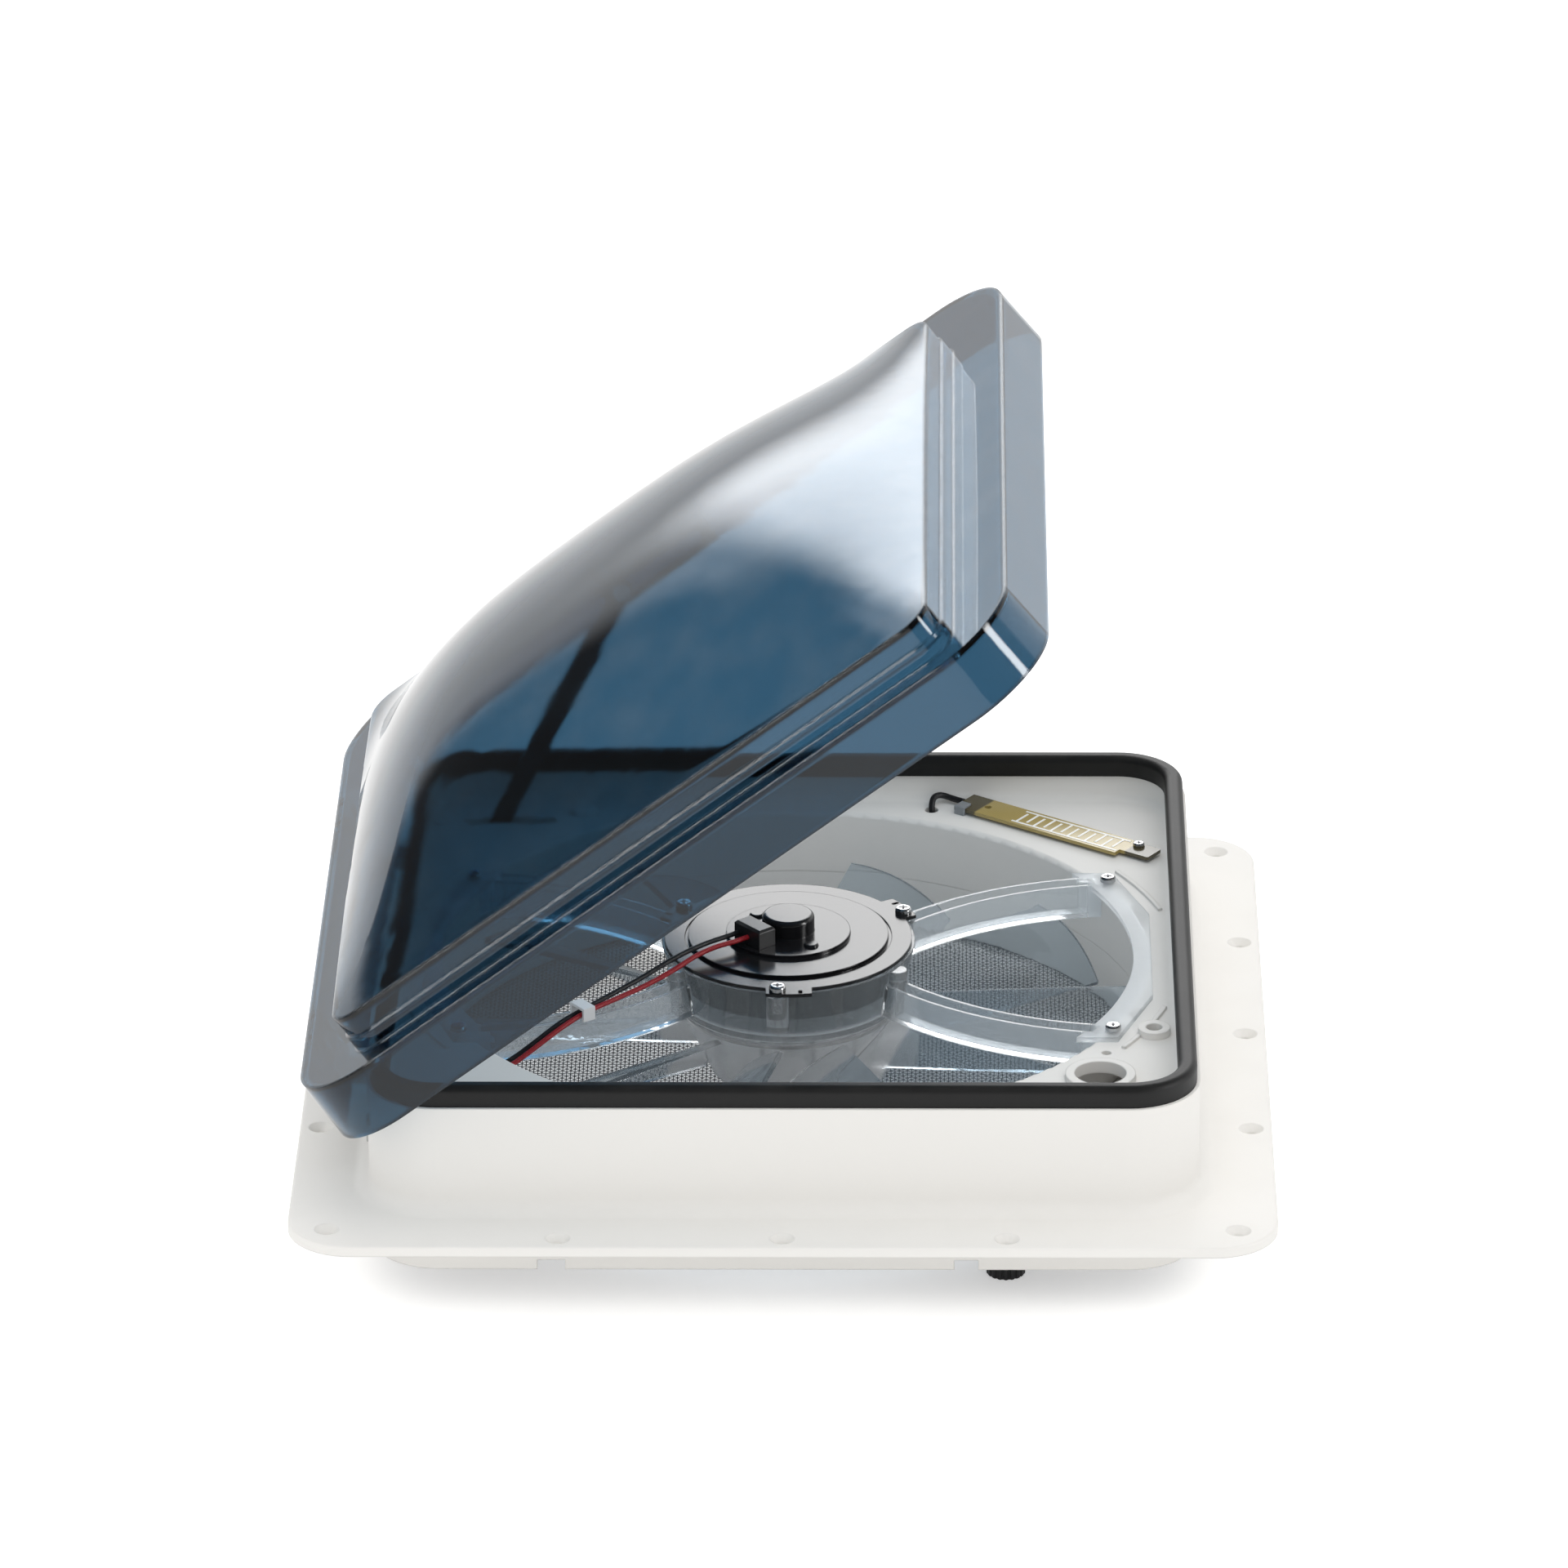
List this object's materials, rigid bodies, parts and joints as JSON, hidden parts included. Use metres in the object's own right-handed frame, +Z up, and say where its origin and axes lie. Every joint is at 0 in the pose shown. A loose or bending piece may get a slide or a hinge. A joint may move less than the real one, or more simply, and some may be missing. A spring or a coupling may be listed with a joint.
{
  "type": "caravan roof vent",
  "caption": "Square caravan roof vent with a hinged smoked dome lid, motor fan on a clear bracket, insect screen and rain sensor.",
  "frame": {"origin": "middle of the flange underside, on the roof plane", "axes": "+Z up out of the roof, lid hinge along Y on the -X side, X and Y along the flange sides"},
  "size_m": [0.416, 0.416, 0.3238],
  "materials": {
    "white": "satin moulded",
    "rubber": "matt",
    "steel": "bright",
    "mesh": "woven wire",
    "clear": "clear",
    "motor_black": "gloss black",
    "magnet": "sintered",
    "bronze": "sintered",
    "brown_board": "laminate",
    "carbon": "carbon",
    "black_plastic": "moulded",
    "red_sheath": "sheath",
    "black_sheath": "sheath",
    "white_clip": "moulded",
    "sensor_board": "lacquered laminate",
    "trace": "tinned copper",
    "frosted": "frosted",
    "hinge_metal": "painted",
    "zinc_plate": "zinc plated",
    "motor_steel": "laminated",
    "smoke": "smoked clear",
    "arm_black": "black coated",
    "knob_black": "moulded"
  },
  "bodies": {
    "base": {"base_housing": "white", "rim_gasket": "rubber", "throat_ring": "white", "throat_ring_screws": "steel", "insect_screen": "mesh", "screen_clamp": "white", "screen_clamp_screws": "steel", "motor_bracket": "clear", "bracket_screws": "steel", "motor_can": "motor_black", "motor_end_plate": "motor_black", "motor_screws": "steel", "motor_magnets": "magnet", "upper_bush": "bronze", "lower_bush": "bronze", "brush_plate": "brown_board", "motor_brushes": "carbon", "motor_connector": "black_plastic", "red_lead": "red_sheath", "black_lead": "black_sheath", "lead_clip": "white_clip", "rain_sensor_board": "sensor_board", "sensor_traces": "trace", "sensor_screw": "steel", "sensor_lead": "black_sheath", "sensor_clip": "frosted", "hinge_brackets": "hinge_metal", "hinge_pins": "steel", "hinge_bracket_screws": "steel", "lift_bracket": "zinc_plate", "lift_bracket_screws": "steel", "lift_motor": "motor_black", "arm_shaft": "steel", "control_box": "black_plastic", "control_box_screws": "steel", "control_board": "sensor_board", "selector_switch": "black_plastic"},
    "fan_rotor": {"fan_wheel": "clear", "motor_shaft": "steel", "armature": "motor_steel", "commutator": "bronze", "wheel_nut": "steel"},
    "lid": {"lid_dome": "smoke", "lid_hinge_leaves": "hinge_metal", "leaf_rivets": "steel", "lift_rail": "arm_black", "rail_screws": "steel"},
    "lift_arm": {"lift_arm": "arm_black", "sector_gear": "zinc_plate", "arm_pin": "steel"},
    "pinion": {"drive_pinion": "bronze"},
    "selector": {"selector_knob": "knob_black", "selector_shaft": "steel"}
  },
  "joints": [
    {"name": "lid_hinge", "type": "hinge", "parent": "base", "child": "lid", "pos_m": [-0.1893, 0, 0.0383], "axis": [0, -1, 0], "range_deg": [-37.13, 0]},
    {"name": "arm_swing", "type": "hinge", "parent": "base", "child": "lift_arm", "pos_m": [-0.117, 0.1415, 0.027], "axis": [0, -1, 0], "range_deg": [-56.72, 0]},
    {"name": "pinion_spin", "type": "hinge", "parent": "base", "child": "pinion", "pos_m": [-0.11049, 0.1445, -0.00993], "axis": [0, -1, 0], "range_deg": [0, 226.9]},
    {"name": "fan_spin", "type": "hinge", "parent": "base", "child": "fan_rotor", "pos_m": [0, 0, 0.01], "axis": [0, 0, 1], "continuous": true},
    {"name": "selector_turn", "type": "hinge", "parent": "base", "child": "selector", "pos_m": [0.094, -0.146, -0.02], "axis": [0, 0, 1], "range_deg": [-135, 135]}
  ],
  "couplings": [
    {"joint": "arm_swing", "follows": "lid_hinge", "ratio": 1.5272},
    {"joint": "pinion_spin", "follows": "lid_hinge", "ratio": -6.1087}
  ]
}
